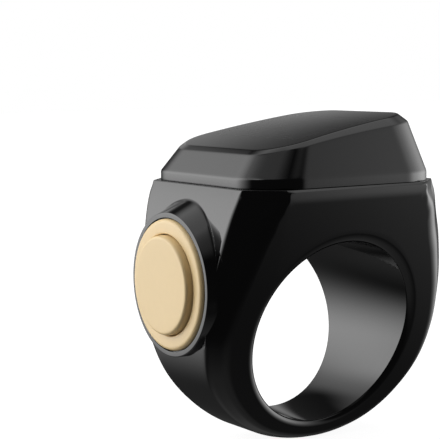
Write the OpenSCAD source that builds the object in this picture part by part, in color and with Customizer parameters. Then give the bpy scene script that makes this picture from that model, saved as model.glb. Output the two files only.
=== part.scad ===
// Digital tasbih counter worn on a finger: finger ring, sloped display cap, side push button.
// Millimetres. The finger passes along Y, the button faces -X and the display faces +Z.
// The origin is the centre of the finger bore.

/* [Finger ring] */
// Inner diameter of the finger bore
finger_bore = 20; // [19:0.5:21]
// Height of the flat top above the crown of the bore
shoulder_height = 6; // [5.8:0.1:6.6]
// Length of the flat top across the finger
top_length = 24.8; // [24.2:0.2:26]
// Width of the flat top along the finger
top_width = 24.6; // [24.2:0.2:26]
// Corner cut that makes the flat top an octagon
corner_cut = 3.5; // [2.8:0.1:3.8]
// Width of the ring at its lowest point
base_width = 7.8; // [7:0.1:9.5]
// Wall under the finger at the lowest point
base_wall = 2.2; // [1.8:0.1:2.4]
// Reach of the eased rim around the bore
rim_reach = 1; // [0.6:0.1:1.3]
// Depth of the eased rim at the bore wall
rim_depth = 0.6; // [0.4:0.05:0.9]
// Easing of the long corner edges
edge_ease = 0.5; // [0.2:0.05:0.6]
// Height of the upright band below the top edge
top_band = 1.05; // [0.8:0.05:1.4]

/* [Chamber] */
// Wall between the bore crown and the chamber floor
floor_wall = 1.4; // [1.3:0.1:1.6]
// Length of the electronics chamber across the finger
chamber_length = 21.2; // [20.8:0.1:21.4]
// Width of the electronics chamber along the finger
chamber_width = 18.4; // [18:0.1:18.6]
// Corner radius of the chamber
chamber_corner = 4; // [3.4:0.1:4.4]

/* [Cap] */
// Length of the cap's foot across the finger
cap_length = 23.8; // [23.4:0.1:24]
// Width of the cap's foot along the finger
cap_width = 23.6; // [23.2:0.1:24]
// Corner radius of the cap's foot
cap_corner = 5.2; // [4.4:0.1:5.6]
// Height of the upright band at the cap's foot
cap_band = 1; // [0.7:0.05:1.3]
// Height of the cap over its middle
cap_height = 5.7; // [5.6:0.05:6.4]
// Angle of the cap's top, low at the button side
cap_tilt = 9.6; // [8.5:0.1:10.5]
// Drop of the bowed top ten millimetres from its middle
cap_bow = 0.32; // [0.1:0.02:0.4]
// Easing between the cap's walls and top at the button side
bevel_near = 0.37; // [0.25:0.01:0.5]
// Easing between the cap's walls and top at the far side
bevel_far = 0.9; // [0.6:0.05:1.1]
// Thickness of the cap's top
cap_wall = 1.2; // [1:0.05:1.3]

/* [Button] */
// Height of the button's centre above the bore centre
button_height = 5.7; // [5.4:0.05:6]
// Diameter of the round boss that carries the button
boss_diameter = 15.2; // [15:0.1:15.8]
// Diameter of the metal trim ring
trim_diameter = 13.9; // [13.6:0.1:14.1]
// Diameter of the pressed disc
disc_diameter = 10.4; // [9.6:0.1:10.6]
// How far the disc stands out of the trim ring
disc_proud = 0.85; // [0.65:0.02:1.05]
// Travel of the disc when pressed
button_travel = 0.35; // [0.2:0.05:0.4]

/* [Display] */
// Height of one large digit
digit_height = 3.6; // [3:0.1:4]
// Width of one large digit
digit_width = 2.3; // [2:0.1:2.5]
// Width of a lit stroke
stroke = 0.5; // [0.35:0.05:0.55]
// Length of the display panel across the finger
panel_length = 11.2; // [10.4:0.1:11.6]
// Width of the display panel along the finger
panel_width = 16.4; // [16:0.1:16.6]

/* [Electronics] */
// Length of the battery cell
battery_length = 14.4; // [12:0.1:14.6]
// Width of the battery cell
battery_width = 12.4; // [10:0.1:12.6]
// Thickness of the battery cell
battery_thickness = 2.2; // [1.8:0.05:2.3]
// Thickness of the main circuit board
board_thickness = 0.6; // [0.5:0.05:0.7]
// Diameter of the vibration motor
motor_diameter = 8; // [7:0.1:8.2]
// Thickness of the vibration motor
motor_thickness = 2.6; // [2.3:0.05:2.7]

/* [Hidden] */
bore_r = finger_bore / 2;
top_z = bore_r + shoulder_height;
floor_z = bore_r + floor_wall;
half_l = top_length / 2;
half_w = top_width / 2;
half_base = base_width / 2;
base_z = bore_r + base_wall;
corner_dist = norm([half_l, top_z]);
corner_turn = atan2(top_z, half_l);
cut_turn = atan2(top_z, half_l - corner_cut);
joint_gap = 0.05;
slip_gap = 0.1;
round_fn = 64;
fine_fn = 32;
bore_fn = 128;
far = 40;
overrun = 1;

// Wall thickness from the lowest point to the top corner, as shares of the corner's own
outline_shares = [0, 0.021, 0.087, 0.17, 0.273, 0.352, 0.452, 0.64, 1];
// Turns of the points on the rounded rim, and shares of the points between it and the band's foot
rim_turns = [22, 45, 68, 90];
face_shares = [0.35, 0.7];
rim_dip = 0.1;
rim_start_share = 1.3;
band_share = 0.7;
cut_low_share = 0.36;
edge_low_share = 0.12;
cut_power = 3;
edge_power = 2.2;
cut_lean = 0.83;
band_blend = 0.4;
band_room_share = 0.2;
band_reach_share = 0.15;
reach_low_share = 0.75;
ease_gap_share = 0.42;
ease_rest_share = 0.7;
ease_turn = 1.5;
soft_ease = 1.4;
soft_span = 4;
foot_low_share = 0.3;
foot_high_share = 0.65;
band_z = top_z - top_band;
corner_sum = half_l + half_w - corner_cut;
face_slope = (half_w - half_base) / (top_z + base_z - band_share * top_band);

function clamp01(v) = min(max(v, 0), 1);
function smooth(v) = let(c = clamp01(v)) c * c * (3 - 2 * c);
function mix(a, b, s) = a + (b - a) * s;
function side_turn(t) = t > 90 ? 180 - t : t;
function rise(t) = clamp01((side_turn(t) + 90) / (corner_turn + 90));

// Smooth curve through evenly spaced shares
function curve(v, s) =
    let(n = len(v) - 1)
    let(f = min(floor(s * n), n - 1))
    let(u = s * n - f)
    let(a = v[abs(f - 1)])
    let(b = v[f])
    let(c = v[f + 1])
    let(d = f + 2 > n ? 2 * c - b : v[f + 2])
    b + u / 2 * (c - a + u * (2 * a - 5 * b + 4 * c - d + u * (3 * (b - c) + d - a)));

// Outline of the ring seen along the finger: distance from the bore centre at a turn
function outline(t) =
    side_turn(t) >= corner_turn
        ? top_z / sin(side_turn(t))
        : base_z + (corner_dist - base_z) * curve(outline_shares, rise(t));

// Smaller of two values, with a smooth change between them
function soft_min(a, b, reach) =
    let(h = max(reach - abs(a - b), 0) / reach)
    min(a, b) - h * h * reach / 4;

// Half width of the ring's flat sides at a height, with the upright band at the top
function side_face(z) =
    half_w - face_slope * (top_z - z - band_share * soft_min(top_z - z, top_band, band_blend));

// Distance at which the corner cut leaves the side: upright in the band, leaning below it
function cut_start(t) =
    let(upright = (half_l - corner_cut) / cos(t))
    upright * sin(t) > band_z
        ? upright
        : (half_l - corner_cut + cut_lean * band_z) / (cos(t) + cut_lean * sin(t));

small_ease = 0.15;
corner_start = cut_start(corner_turn);

function edge_r(t) =
    let(s = side_turn(t))
    let(r = outline(t))
    s < corner_turn
        ? r - (corner_dist - corner_start) * mix(edge_low_share, 1, pow(rise(t), edge_power))
        : s < cut_turn ? min(cut_start(s), r - small_ease / sin(s)) : r - small_ease / sin(s);

function edge_y(t) =
    let(s = side_turn(t))
    let(r = outline(t))
    s < corner_turn
        ? side_face(r * sin(s)) - corner_cut * mix(cut_low_share, 1, pow(rise(t), cut_power))
        : min(half_w - small_ease, half_l + half_w - corner_cut - abs(r * cos(s)));

function part_way(a, b, distance) = mix(a, b, distance / norm(b - a));

// Point of the section near to where the corner cut meets the foot of the upright band
function band_foot(t, low, high) =
    let(s = side_turn(t))
    let(foot_r = s > 0 ? band_z / sin(s) : high[0])
    let(share = clamp01((foot_r - low[0]) / (high[0] - low[0])))
    let(q = min(max(share, foot_low_share), foot_high_share))
    let(foot = [foot_r, corner_sum - abs(foot_r * cos(t))])
    share == 0 || share == 1
        ? mix(low, high, q)
        : share >= q ? mix(low, foot, q / share) : mix(foot, high, (q - share) / (1 - share));

// Half of the ring's section at a turn, as distance and half width, from the bore outwards
function half_section(t) =
    let(up = sin(side_turn(t)))
    let(grow = mix(reach_low_share, 1, rise(t)))
    let(reach = rim_reach * grow)
    let(depth = rim_depth * grow)
    let(low = [edge_r(t), side_face(edge_r(t) * up)])
    let(high = [outline(t), edge_y(t)])
    let(foot = band_foot(t, low, high))
    let(near_top = smooth((side_turn(t) - corner_turn) / ease_turn + 1))
    let(low_ease = min(
        mix(edge_ease, soft_ease, smooth((band_z - low[0] * up) / soft_span)),
        ease_gap_share * norm(foot - low)))
    let(high_ease = min(edge_ease * mix(1, small_ease, near_top), ease_rest_share * norm(high - foot)))
    let(start = bore_r + reach)
    let(end = low[0] - low_ease)
    let(room = band_room_share * (end - start))
    let(band_r = up > 0 ? min(max(band_z / up, start + room), end - room) : end - room)
    let(span = min(band_reach_share * (end - start), band_blend))
    let(before = [end, side_face(end * up)])
    let(after = part_way(low, foot, low_ease))
    concat(
        [[bore_r - rim_dip, side_face(bore_r * up) - rim_start_share * depth]],
        [for (a = rim_turns)
            let(r = bore_r + reach * (1 - cos(a)))
            [r, side_face(r * up) - depth * (1 - sin(a))]],
        [for (q = face_shares)
            let(r = mix(start, band_r - span, q))
            [r, side_face(r * up)]],
        [for (q = [-1, 0, 1])
            let(r = band_r + q * span)
            [r, side_face(r * up)]],
        [before, mix(mix(before, after, 1 / 2), low, 1 / 2), after, foot],
        [part_way(high, foot, high_ease), [high[0], high[1] - high_ease]]);

function section(t) =
    let(h = half_section(t))
    concat(h, [[outline(t), 0]], [for (i = [len(h) - 1:-1:0]) [h[i][0], -h[i][1]]]);

side_steps = 22;
cut_steps = 2;
flat_steps = 5;
turns_up = concat(
    [for (i = [0:side_steps - 1]) mix(-90, corner_turn, i / side_steps)],
    [for (i = [0:cut_steps - 1]) mix(corner_turn, cut_turn, i / cut_steps)],
    [for (i = [0:flat_steps - 1]) mix(cut_turn, 90, i / flat_steps)]);
turns = concat(turns_up, [90], [for (i = [len(turns_up) - 1:-1:1]) 180 - turns_up[i]]);

module ring_form() {
    rows = [for (t = turns) [for (p = section(t)) [p[0] * cos(t), p[1], p[0] * sin(t)]]];
    n = len(rows);
    m = len(rows[0]);
    polyhedron(
        points = [for (r = rows) for (p = r) p],
        faces = [for (i = [0:n - 1]) for (j = [0:m - 1])
            let(a = i * m + j)
            let(b = i * m + (j + 1) % m)
            let(c = ((i + 1) % n) * m + (j + 1) % m)
            let(d = ((i + 1) % n) * m + j)
            each [[a, b, c], [a, c, d]]]);
}

// Flat shape with rounded corners
module rounded(l, w, r) {
    square([l - 2 * r, w], center = true);
    square([l, w - 2 * r], center = true);
    for (x = [-1, 1]) {
        for (y = [-1, 1]) {
            translate([x * (l / 2 - r), y * (w / 2 - r)]) circle(r, $fn = round_fn);
        }
    }
}

module slab(l, w, r, h) {
    linear_extrude(h) rounded(l, w, r);
}

// Places round parts along the button's axis: zero at the pocket floor, growing outwards
module on_button() {
    translate([-pocket_x, 0, button_height]) rotate([0, -90, 0]) children();
}

module disc(r, z0, z1) {
    translate([0, 0, z0]) cylinder(r = r, h = z1 - z0, $fn = round_fn);
}

module tube(r1, r0, z0, z1) {
    difference() {
        disc(r1, z0, z1);
        disc(r0, z0 - overrun, z1 + overrun);
    }
}

// Stack of the button from the pocket floor outwards
pocket_x = bore_r + floor_wall;
pocket_r = 6.3;
button_board_t = 0.6;
switch_t = 1;
plunger_out = button_travel + joint_gap;
flange_t = 0.6;
flange_lip = 0.5;
stem_l = plunger_out + joint_gap;
trim_t = 0.9;
trim_lip = 1.7;
trim_show = 0.35;
seal_t = 0.2;
disc_r = disc_diameter / 2;
trim_r = trim_diameter / 2;
trim_bore_r = disc_r + joint_gap;
flange_r = disc_r + flange_lip;
trim_inner_r = flange_r + slip_gap;
stem_z = button_board_t + switch_t + plunger_out;
flange_z = stem_z + stem_l;
lip_z = flange_z + flange_t + joint_gap;
trim_front = lip_z + trim_lip;
trim_back = trim_front - trim_t;
boss_front = trim_front - trim_show;
boss_r = boss_diameter / 2;
boss_ease = 0.12;
boss_reach = 1.6;
boss_draft = 0.38;
boss_back = 1;
boss_margin = 0.25;
boss_steps = 48;
root_steps = 6;
first_turn = 20;
turn_tries = 8;

// Turn of the outline at a height, and the distance of the button side's surface from the YZ plane
function turn_at(z, t, n) = n < 1 ? t : turn_at(z, asin(z / outline(t)), n - 1);
function button_side(y, z) =
    let(t = turn_at(z, first_turn, turn_tries))
    let(y1 = edge_y(t))
    let(r2 = edge_r(t))
    let(y2 = side_face(r2 * sin(t)))
    mix(outline(t), r2, clamp01((abs(y) - y1) / (y2 - y1))) * cos(t);

// Profile of the boss at an angle around its axis, as radius and distance from the YZ plane:
// a cone that stands on the ring's own surface, then the eased front edge
function boss_profile(a) =
    let(wide = boss_r + boss_reach)
    let(side = side_face(button_height + wide * sin(a)) - boss_margin)
    let(r1 = min(wide, side / max(abs(cos(a)), boss_margin)))
    let(edge = pocket_x + boss_front - boss_ease)
    concat(
        [[r1, pocket_x + boss_back]],
        [for (i = [0:root_steps])
            let(r = mix(r1, boss_r, i / root_steps))
            let(x = button_side(r * cos(a), button_height + r * sin(a)) - joint_gap)
            [r, max(min(x, edge - joint_gap), edge - (r - boss_r) / boss_draft - joint_gap)]],
        [[boss_r, edge], [boss_r - boss_ease, edge + boss_ease]]);

module button_boss() {
    rows = [for (i = [0:boss_steps - 1])
        let(a = i * 360 / boss_steps)
        [for (q = boss_profile(a)) [-q[1], q[0] * cos(a), button_height + q[0] * sin(a)]]];
    n = boss_steps;
    m = len(rows[0]);
    polyhedron(
        points = concat(
            [for (r = rows) for (q = r) q],
            [[-pocket_x - boss_back, 0, button_height], [-pocket_x - boss_front, 0, button_height]]),
        faces = concat(
            [for (i = [0:n - 1]) for (j = [0:m - 2])
                let(a = i * m + j)
                let(b = ((i + 1) % n) * m + j)
                each [[a, b, b + 1], [a, b + 1, a + 1]]],
            [for (i = [0:n - 1])
                let(a = i * m)
                let(b = ((i + 1) % n) * m)
                each [[n * m, b, a], [n * m + 1, a + m - 1, b + m - 1]]]));
}

post_inset = 2;
post_x = chamber_length / 2 - post_inset;
post_y = chamber_width / 2 - post_inset;
post_r = 1.2;
board_drop = 1.5;
board_z = top_z - board_drop;
pilot_r = 0.45;
pilot_depth = 2.2;
pad_y = 2.6;
pad_r = 1.1;
pad_flange_r = 1.5;
pad_flange_t = 0.3;
pad_recess = 0.06;
magnet_x = 4.4;
magnet_r = 1.5;
magnet_t = 1;
seal_width = 0.45;
seal_depth = 0.5;
seal_out_x = 0.7;
seal_out_y = 1.1;
seal_length = chamber_length + 2 * seal_out_x;
seal_span = chamber_width + 2 * seal_out_y;
seal_corner = chamber_corner + seal_out_x;
channel_w = 4.4;
channel_rise = 4.6;
channel_over = 1.9;
channel_low = button_height + channel_rise;
channel_high = floor_z + channel_over;

module corners() {
    for (x = [-1, 1]) {
        for (y = [-1, 1]) {
            translate([x * post_x, y * post_y, 0]) children();
        }
    }
}

// Band of the cap's seal, from the groove's floor upwards
module seal_form(h) {
    translate([0, 0, top_z - seal_depth]) difference() {
        slab(seal_length, seal_span, seal_corner, h);
        translate([0, 0, -overrun])
            slab(seal_length - 2 * seal_width, seal_span - 2 * seal_width, seal_corner - seal_width, far);
    }
}

module ring_body() {
    color("#101113") difference() {
        union() {
            ring_form();
            button_boss();
        }
        rotate([90, 0, 0]) cylinder(r = bore_r, h = 2 * far, center = true, $fn = bore_fn);
        difference() {
            translate([0, 0, floor_z]) slab(chamber_length, chamber_width, chamber_corner, far);
            corners() disc(post_r, floor_z - overrun, board_z);
        }
        corners() disc(pilot_r, board_z - pilot_depth, board_z + overrun);
        seal_form(far);
        on_button() {
            disc(pocket_r, 0, far);
            disc(trim_r + joint_gap, trim_back - seal_t, far);
        }
        translate([-pocket_x - overrun, -channel_w / 2, channel_low])
            cube([pocket_x + 2 * overrun - chamber_length / 2, channel_w, channel_high - channel_low]);
        for (y = [-1, 1]) {
            translate([0, y * pad_y, 0]) {
                disc(pad_r, bore_r - overrun, far);
                disc(pad_flange_r + joint_gap, floor_z - pad_flange_t, far);
            }
        }
        for (x = [-1, 1]) {
            translate([x * magnet_x, 0, 0]) disc(magnet_r + joint_gap, floor_z - magnet_t, floor_z + overrun);
        }
    }
}

// Cap: an upright band, leaning walls, an easing and a bowed top that slopes to the button
lean_near = 0.8;
lean_far = 0.23;
lean_side = 0.42;
ease_share = 0.95;
bow_span = 10;
first_wall = 3;
wall_tries = 14;
top_shares = [0.8, 0.55, 0.3];
cap_hl = cap_length / 2;
cap_hw = cap_width / 2;
ceiling = cap_height - cap_wall;

function cap_top(x) = top_z + cap_height + tan(cap_tilt) * x - cap_bow * pow(x / bow_span, 2);
function bevel(x) = mix(bevel_near, bevel_far, clamp01((x / bow_span + 1) / 2));
function cap_lean(p, h) = [
    p[0] - sign(p[0]) * (p[0] < 0 ? lean_near : lean_far) * h * abs(p[0]) / cap_hl,
    p[1] - sign(p[1]) * lean_side * h * abs(p[1]) / cap_hw];
function wall_height(p, h, n) =
    n < 1 ? h : wall_height(p, let(x = cap_lean(p, h)[0]) cap_top(x) - bevel(x) - top_z - cap_band, n - 1);

cap_arc = 7;
long_steps = 9;
short_steps = 5;
arc_points = [for (k = [0:3]) for (i = [0:cap_arc])
    let(a = k * 90 + i * 90 / cap_arc)
    let(sx = k == 0 || k == 3 ? 1 : -1)
    let(sy = k < 2 ? 1 : -1)
    [sx * (cap_hl - cap_corner) + cap_corner * cos(a), sy * (cap_hw - cap_corner) + cap_corner * sin(a)]];
foot = [for (k = [0:3])
    let(first = k * (cap_arc + 1))
    let(last = arc_points[first + cap_arc])
    let(next = arc_points[(first + cap_arc + 1) % len(arc_points)])
    let(steps = k % 2 == 0 ? long_steps : short_steps)
    each concat(
        [for (i = [0:cap_arc]) arc_points[first + i]],
        [for (i = [1:steps - 1]) mix(last, next, i / steps)])];

module cap_form() {
    low = [for (p = foot)
        let(h = wall_height(p, first_wall, wall_tries))
        let(q = cap_lean(p, h))
        [q[0], q[1], top_z + cap_band + h]];
    high = [for (p = low)
        let(b = bevel(p[0]) * ease_share)
        let(x = p[0] - sign(p[0]) * b * min(abs(p[0]) / bow_span, 1))
        [x, p[1] - sign(p[1]) * b * min(abs(p[1]) / bow_span, 1), cap_top(x)]];
    rows = concat(
        [[for (p = foot) [p[0], p[1], top_z]]],
        [[for (p = foot) [p[0], p[1], top_z + cap_band]]],
        [low],
        [high],
        [for (s = top_shares) [for (p = high) [p[0] * s, p[1] * s, cap_top(p[0] * s)]]]);
    m = len(foot);
    n = len(rows);
    polyhedron(
        points = concat([for (r = rows) for (p = r) p], [[0, 0, cap_top(0)], [0, 0, top_z]]),
        faces = concat(
            [for (j = [0:m - 1]) [j, (j + 1) % m, n * m + 1]],
            [for (i = [0:n - 2]) for (j = [0:m - 1])
                let(a = i * m + j)
                let(b = i * m + (j + 1) % m)
                each [[a, a + m, b + m], [a, b + m, b]]],
            [for (j = [0:m - 1]) [(n - 1) * m + j, n * m, (n - 1) * m + (j + 1) % m]]));
}

// Places things under the sloped ceiling of the cap: zero at the ceiling, growing upwards
module under_cap() {
    translate([0, 0, top_z + ceiling]) rotate([0, -cap_tilt, 0]) children();
}

near_wall = 2.8;
far_wall = 2.4;
side_wall = 2.8;
hollow_near = cap_hl - near_wall;
hollow_far = cap_hl - far_wall;
hollow_width = cap_width - 2 * side_wall;
hollow_corner = 4;
lip_depth = 0.8;
lip_wall = 0.8;
lip_root = 0.3;
lip_open_x = 12;
lip_open_y = 9;

module top_cap() {
    color("#0b0c0e") {
        difference() {
            cap_form();
            intersection() {
                translate([(hollow_far - hollow_near) / 2, 0, top_z - overrun])
                    slab(hollow_near + hollow_far, hollow_width, hollow_corner, far);
                under_cap() translate([-far, -far, -far]) cube([2 * far, 2 * far, far]);
            }
        }
        intersection() {
            difference() {
                translate([0, 0, top_z - lip_depth])
                    slab(chamber_length - 2 * slip_gap, chamber_width - 2 * slip_gap, chamber_corner,
                        lip_depth + lip_root);
                translate([0, 0, top_z - lip_depth - overrun])
                    slab(chamber_length - 2 * lip_wall, chamber_width - 2 * lip_wall, chamber_corner - lip_wall,
                        far);
            }
            union() {
                cube([lip_open_x, 2 * far, 2 * far], center = true);
                cube([2 * far, lip_open_y, 2 * far], center = true);
            }
        }
    }
}

module cap_seal() {
    color("#26272a") seal_form(seal_depth);
}

// Display: plain numbers as lit strokes that lie deep in the slots of a dark mask
mask_t = 0.7;
light_t = 0.2;
panel_t = 0.8;
frame_t = 0.5;
panel_shift = 0.3;
panel_corner = 0.5;
mask_gap = 0.25;
digit_shift = -0.8;
digit_gap = 0.9;
colon_gap = 1.55;
digit_pitch = digit_width + digit_gap;
colon_pitch = digit_width / 2 + colon_gap;
digits = [1, 0, 0, 8];
small_digits = [3, 3];
small_share = 0.5;
small_stroke_share = 0.6;
small_shift = 2.4;
small_width = 1.1;
small_pitch = 1.4;
small_in = 0.5;
level_out = 0.8;
level_pitch = 0.75;
level_height_share = 0.33;
level_width_share = 0.8;
dot_share = 0.22;
gap_share = 0.2;
stroke_gap = 0.01;
lit = [
    [1, 1, 1, 1, 1, 1, 0],
    [0, 1, 1, 0, 0, 0, 0],
    [1, 1, 0, 1, 1, 0, 1],
    [1, 1, 1, 1, 0, 0, 1],
    [0, 1, 1, 0, 0, 1, 1],
    [1, 0, 1, 1, 0, 1, 1],
    [1, 0, 1, 1, 1, 1, 1],
    [1, 1, 1, 0, 0, 0, 0],
    [1, 1, 1, 1, 1, 1, 1],
    [1, 1, 1, 1, 0, 1, 1]];

module bar(x, y, l, w, g) {
    translate([x, y]) square([l + 2 * g, w + 2 * g], center = true);
}

// One digit: read with its top to +X and its right side to -Y
module digit(value, h, w, s, g) {
    v = (h - s) / 2;
    u = (w - s) / 2;
    gap = s * gap_share;
    cross = w - 2 * s - 2 * gap;
    upright = h / 2 - gap;
    place = [[v, 0], [h / 4, -u], [-h / 4, -u], [-v, 0], [-h / 4, u], [h / 4, u], [0, 0]];
    for (i = [0:6]) {
        if (lit[value][i] == 1) {
            if (i % 3 == 0) bar(place[i][0], place[i][1], s, cross, g);
            else bar(place[i][0], place[i][1], upright, s, g);
        }
    }
}

module strokes(g) {
    translate([digit_shift, 0]) {
        for (i = [0:3]) {
            side = i < 2 ? 1 : -1;
            step = i == 0 || i == 3 ? digit_pitch + colon_pitch : colon_pitch;
            translate([0, side * step]) digit(digits[i], digit_height, digit_width, stroke, g);
        }
        for (x = [-1, 1]) {
            bar(x * digit_height * dot_share, 0, stroke, stroke, g);
        }
    }
    translate([small_shift, 0]) {
        for (i = [0:1]) {
            translate([0, small_in + (1 - i) * small_pitch - digit_pitch - colon_pitch])
                digit(small_digits[i], digit_height * small_share, small_width, stroke * small_stroke_share, g);
        }
        for (i = [0:2]) {
            bar(0, digit_pitch + colon_pitch + level_out - i * level_pitch,
                digit_height * level_height_share, stroke * level_width_share, g);
        }
    }
}

module display_mask() {
    color("#070708") under_cap() difference() {
        translate([(hollow_far - hollow_near) / 2, 0, -mask_t])
            slab(hollow_near + hollow_far - 2 * mask_gap, hollow_width - 2 * mask_gap,
                hollow_corner - mask_gap, mask_t);
        translate([0, 0, -mask_t - overrun]) linear_extrude(mask_t + 2 * overrun) strokes(0);
    }
}

module display_strokes() {
    color("#f4f7ff") under_cap() translate([0, 0, -mask_t]) linear_extrude(light_t) strokes(-stroke_gap);
}

module display_panel() {
    color("#1a1c22") under_cap() translate([panel_shift, 0, -mask_t - panel_t])
        slab(panel_length, panel_width, panel_corner, panel_t);
}

leg_inset_x = 0.7;
leg_inset_y = 1.9;
leg_x = panel_length / 2 - leg_inset_x;
leg_y = chamber_width / 2 - leg_inset_y;
leg_r = 0.6;
frame_rim_x = 1.5;
frame_rim_y = 2;

module display_bracket() {
    color("#d9dadc") {
        under_cap() translate([panel_shift, 0, -mask_t - panel_t - frame_t]) difference() {
            slab(panel_length, panel_width, panel_corner, frame_t);
            translate([0, 0, -overrun])
                slab(panel_length - 2 * frame_rim_x, panel_width - 2 * frame_rim_y, panel_corner, far);
        }
        intersection() {
            for (x = [-1, 1]) {
                for (y = [-1, 1]) {
                    translate([x * leg_x, y * leg_y, 0]) disc(leg_r, board_z + board_thickness, top_z + far);
                }
            }
            under_cap() translate([-far, -far, -mask_t - panel_t - 2 * far - frame_t / 2])
                cube([2 * far, 2 * far, 2 * far]);
        }
    }
}

// Thin strip in the XZ plane that follows points, given its width along Y
module ribbon(path, t, w, y) {
    n = len(path);
    side = [for (i = [0:n - 1])
        let(a = path[max(i - 1, 0)])
        let(b = path[min(i + 1, n - 1)])
        let(d = (b - a) / norm(b - a))
        [-d[1], d[0]]];
    translate([0, y + w / 2, 0]) rotate([90, 0, 0]) linear_extrude(w) polygon(concat(
        [for (i = [0:n - 1]) path[i] + side[i] * t / 2],
        [for (i = [n - 1:-1:0]) path[i] - side[i] * t / 2]));
}

function arc(c, r, a0, a1, n) = [for (i = [0:n]) c + r * [cos(mix(a0, a1, i / n)), sin(mix(a0, a1, i / n))]];

flex_t = 0.12;
board_top = board_z + board_thickness;
socket_inset = 3;
socket_x = socket_inset - chamber_length / 2;
socket_h = 0.6;
socket_l = 1.4;
socket_w = 6;
display_flex_w = 5;
flex_rise = 0.9;
flex_lean_share = 0.6;
flex_turn_r = 0.6;
bend_steps = 5;
panel_back = -mask_t - panel_t / 2;
function under_cap_point(x, z) = [
    x * cos(cap_tilt) - z * sin(cap_tilt),
    top_z + ceiling + x * sin(cap_tilt) + z * cos(cap_tilt)];

module display_flex() {
    start = under_cap_point(panel_shift - panel_length / 2, panel_back);
    c = start - flex_turn_r * [flex_lean_share, 1];
    color("#b8722a") ribbon(
        concat(
            [start],
            arc(c, flex_turn_r, 90, 180, bend_steps),
            [[c[0] - flex_turn_r, board_top + socket_h / 2 + flex_rise]],
            [[socket_x, board_top + socket_h + flex_t]]),
        flex_t, display_flex_w, 0);
}

module display_socket() {
    color("#e8e6df") translate([socket_x, 0, board_top + socket_h / 2]) cube([socket_l, socket_w, socket_h], center = true);
}

board_gap = 0.25;
board_hl = chamber_length / 2 - board_gap;
board_hw = chamber_width / 2 - board_gap;

module main_board() {
    color("#14532f") difference() {
        translate([0, 0, board_z])
            slab(2 * board_hl, 2 * board_hw, chamber_corner - board_gap, board_thickness);
        corners() disc(pilot_r + joint_gap, board_z - overrun, board_top + overrun);
    }
}

screw_head_r = 0.9;
screw_head_t = 0.5;
screw_end_gap = 0.2;
drive_l = 1.2;
drive_w = 0.25;

module board_screws() {
    color("#b9bcc1") corners() difference() {
        union() {
            disc(pilot_r, board_z - pilot_depth + screw_end_gap, board_top + screw_head_t / 2);
            disc(screw_head_r, board_top, board_top + screw_head_t);
        }
        translate([0, 0, board_top + screw_head_t]) {
            cube([drive_l, drive_w, screw_head_t], center = true);
            cube([drive_w, drive_l, screw_head_t], center = true);
        }
    }
}

// Chips stand on the board at shares of its half length and half width
radio_shares = [-0.35, 0.38];
radio_side = 4;
radio_h = 0.8;
charging_shares = [-0.31, -0.36];
charging_side = 3;
charging_h = 0.75;
memory_shares = [-0.01, -0.7];
memory_size = [2.4, 2, 0.6];
crystal_shares = [0.03, 0.715];
crystal_size = [3.2, 1.5, 0.7];
antenna_shares = [-0.86, 0.47];
antenna_size = [1, 2.6, 0.6];
row_shares = [-0.6, -0.01];
row_pitch = 1.3;
row_size = [0.6, 1, 0.5];
short_row_shares = [-0.54, -0.63];
short_row_pitch = 1.2;
short_row_size = [0.5, 1, 0.4];

module chip(shares, size, shift = 0) {
    translate([shares[0] * board_hl + shift, shares[1] * board_hw, board_top + size[2] / 2])
        cube(size, center = true);
}

module radio_chip() {
    color("#1b1b1d") chip(radio_shares, [radio_side, radio_side, radio_h]);
}

module charging_chip() {
    color("#202022") chip(charging_shares, [charging_side, charging_side, charging_h]);
}

module memory_chip() {
    color("#232326") chip(memory_shares, memory_size);
}

module clock_crystal() {
    color("#c9ccd1") chip(crystal_shares, crystal_size);
}

module chip_antenna() {
    color("#e9e4d6") chip(antenna_shares, antenna_size);
}

module board_capacitors() {
    color("#a8845a") {
        for (i = [0:3]) {
            chip(row_shares, row_size, i * row_pitch);
        }
        for (i = [0:2]) {
            chip(short_row_shares, short_row_size, i * short_row_pitch);
        }
    }
}

// Vibration motor: an off-centre weight that spins in a flat can
motor_inset = 1.15;
motor_x = board_hl - motor_inset - motor_diameter / 2;
motor_r = motor_diameter / 2;
can_wall = 0.2;
motor_base_t = 0.3;
shaft_r = 0.35;
rotor_t = 0.5;
weight_t = 0.9;
rotor_gap = 0.2;
rotor_side_gap = 0.25;
weight_side_gap = 0.3;
weight_bore_gap = 0.6;
rotor_z = motor_base_t + rotor_gap;
lead_pitch = 0.7;
lead_out = 0.9;
lead_over = 0.2;
lead_r = 0.15;

module at_motor() {
    translate([motor_x, 0, board_top]) children();
}

module motor_base() {
    color("#3a6b4a") at_motor() difference() {
        disc(motor_r, 0, motor_base_t);
        disc(shaft_r, -overrun, motor_base_t + overrun);
    }
}

module motor_can() {
    color("#c4c7cb") at_motor() difference() {
        disc(motor_r, motor_base_t, motor_thickness);
        disc(motor_r - can_wall, motor_base_t - overrun, motor_thickness - can_wall);
    }
}

module motor_shaft() {
    color("#8d9094") at_motor() disc(shaft_r, 0, motor_thickness - can_wall);
}

module motor_rotor() {
    color("#2c2d30") at_motor()
        tube(motor_r - can_wall - rotor_side_gap, shaft_r + joint_gap, rotor_z, rotor_z + rotor_t);
}

module motor_weight() {
    color("#85888c") at_motor() difference() {
        tube(motor_r - can_wall - weight_side_gap, shaft_r + weight_bore_gap,
            rotor_z + rotor_t, rotor_z + rotor_t + weight_t);
        translate([-2 * far, -far, 0]) cube([2 * far, 2 * far, far]);
    }
}

module motor_leads() {
    color("#b33a2c") for (y = [-1, 1]) {
        translate([motor_x - motor_r - lead_out, y * lead_pitch, board_top + lead_over]) rotate([0, 90, 0])
            cylinder(r = lead_r, h = lead_out + joint_gap, $fn = fine_fn);
    }
}

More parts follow.
